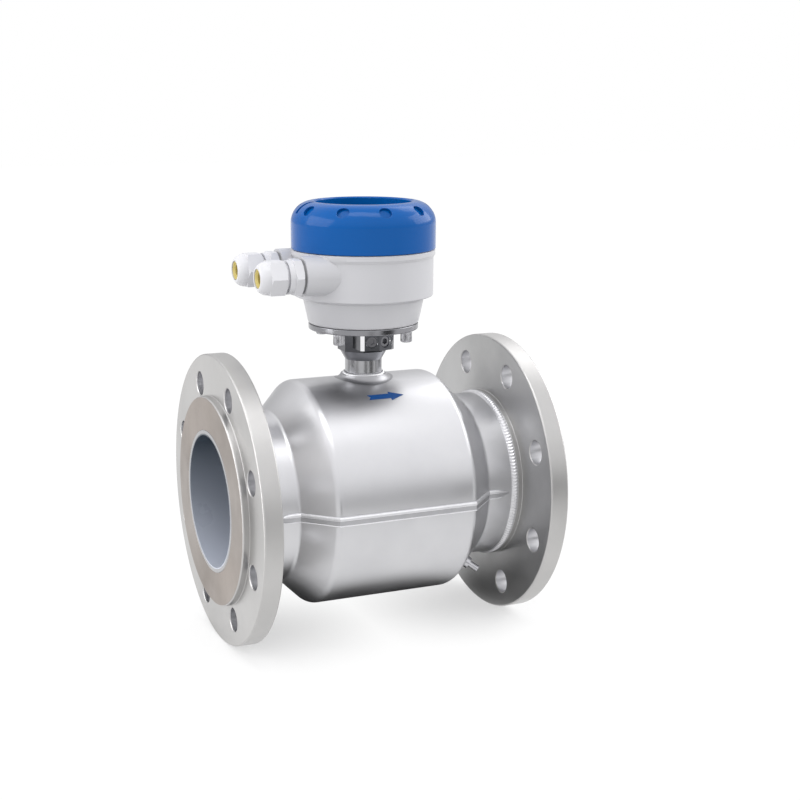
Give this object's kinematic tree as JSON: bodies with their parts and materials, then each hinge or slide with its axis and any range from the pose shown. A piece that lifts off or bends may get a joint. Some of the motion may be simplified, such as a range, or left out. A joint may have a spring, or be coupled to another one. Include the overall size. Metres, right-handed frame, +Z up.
{
  "type": "electromagnetic flow meter",
  "caption": "Flanged electromagnetic flow meter: a coated tube flattened to a slot between two pipe flanges, with a round signal converter, screw cover and cable glands on its neck.",
  "frame": {"origin": "centre of the inlet flange's sealing face, on the pipe's axis", "axes": "+X along the pipe in the direction of flow, +Z up the neck to the converter, +Y across the meter away from the side that shows the arrow"},
  "size_m": [0.25, 0.22, 0.328],
  "materials": {
    "flange_steel": "turned",
    "satin_steel": "bead blasted",
    "tube_steel": "brushed",
    "weld_steel": "weld bead",
    "fastener_steel": "bright",
    "electrode_alloy": "polished",
    "magnet_iron": "plain",
    "copper_wire": "enamelled wire",
    "brass_post": "plain",
    "adapter_grey": "machined",
    "light_grey_paint": "powder coated",
    "blue_paint": "gloss paint",
    "bore_coating": "smooth polymer",
    "gland_grey": "moulded",
    "black_plastic": "moulded",
    "white_plastic": "machined",
    "terminal_grey": "moulded",
    "green_board": "lacquered",
    "lead_sleeve": "braided sleeve",
    "black_rubber": "plain",
    "yellow_rubber": "plain",
    "display_glass": "glossy",
    "window_glass": "clear"
  },
  "bodies": {
    "meter": {"inlet_flange": "flange_steel", "outlet_flange": "flange_steel", "inlet_pipe_end": "tube_steel", "inlet_transition": "tube_steel", "measuring_tube": "tube_steel", "outlet_transition": "tube_steel", "outlet_pipe_end": "tube_steel", "bore_coating": "bore_coating", "upper_housing_shell": "satin_steel", "lower_housing_shell": "satin_steel", "inlet_weld": "weld_steel", "outlet_weld": "weld_steel", "front_seam_weld": "weld_steel", "rear_seam_weld": "weld_steel", "upper_pole_piece": "magnet_iron", "lower_pole_piece": "magnet_iron", "upper_coil_bobbin": "black_plastic", "lower_coil_bobbin": "black_plastic", "upper_coil_winding": "copper_wire", "lower_coil_winding": "copper_wire", "front_yoke": "magnet_iron", "rear_yoke": "magnet_iron", "front_electrode": "electrode_alloy", "rear_electrode": "electrode_alloy", "reference_electrode": "electrode_alloy", "electrode_bushes": "white_plastic", "electrode_washers": "fastener_steel", "electrode_nuts": "fastener_steel", "earth_stud": "fastener_steel", "neck_tube": "tube_steel", "neck_weld": "weld_steel", "neck_adapter": "adapter_grey", "adapter_screws": "fastener_steel", "adapter_plate": "adapter_grey", "plate_screws": "fastener_steel", "lead_bundle": "lead_sleeve", "converter_housing": "light_grey_paint", "electronics_module": "black_plastic", "terminal_board": "green_board", "terminal_block": "terminal_grey", "display_posts": "brass_post", "display_frame": "black_plastic", "display_screen": "display_glass", "display_keys": "terminal_grey", "display_screws": "fastener_steel", "front_gland_gasket": "black_rubber", "rear_gland_gasket": "black_rubber", "front_gland_body": "gland_grey", "rear_gland_body": "gland_grey"},
    "cover_ring": {"cover_seal": "black_rubber"},
    "cover": {"cover": "blue_paint", "window_seal": "black_rubber", "cover_window": "window_glass", "window_retainer": "black_plastic"},
    "front_insert": {"front_gland_insert": "yellow_rubber"},
    "front_nut": {"front_gland_nut": "gland_grey"},
    "rear_insert": {"rear_gland_insert": "yellow_rubber"},
    "rear_nut": {"rear_gland_nut": "gland_grey"}
  },
  "joints": [
    {"name": "cover_lift", "type": "slide", "parent": "meter", "child": "cover_ring", "axis": [0, 0, 1], "range_m": [0, 0.01275]},
    {"name": "cover_turn", "type": "hinge", "parent": "cover_ring", "child": "cover", "pos_m": [0.125, 0, 0.183], "axis": [0, 0, 1], "range_deg": [0, 1530]},
    {"name": "front_nut_travel", "type": "slide", "parent": "meter", "child": "front_insert", "axis": [-1, 0, 0], "range_m": [0, 0.0075]},
    {"name": "front_nut_turn", "type": "hinge", "parent": "front_insert", "child": "front_nut", "pos_m": [0.04, -0.0255, 0.1678], "axis": [-1, 0, 0], "range_deg": [0, 1800]},
    {"name": "rear_nut_travel", "type": "slide", "parent": "meter", "child": "rear_insert", "axis": [-1, 0, 0], "range_m": [0, 0.0075]},
    {"name": "rear_nut_turn", "type": "hinge", "parent": "rear_insert", "child": "rear_nut", "pos_m": [0.04, 0.0255, 0.1678], "axis": [-1, 0, 0], "range_deg": [0, 1800]}
  ],
  "couplings": [
    {"joint": "cover_lift", "follows": "cover_turn", "m_per_rad": 0.00047746},
    {"joint": "front_nut_travel", "follows": "front_nut_turn", "m_per_rad": 0.00023873},
    {"joint": "rear_nut_travel", "follows": "rear_nut_turn", "m_per_rad": 0.00023873}
  ]
}
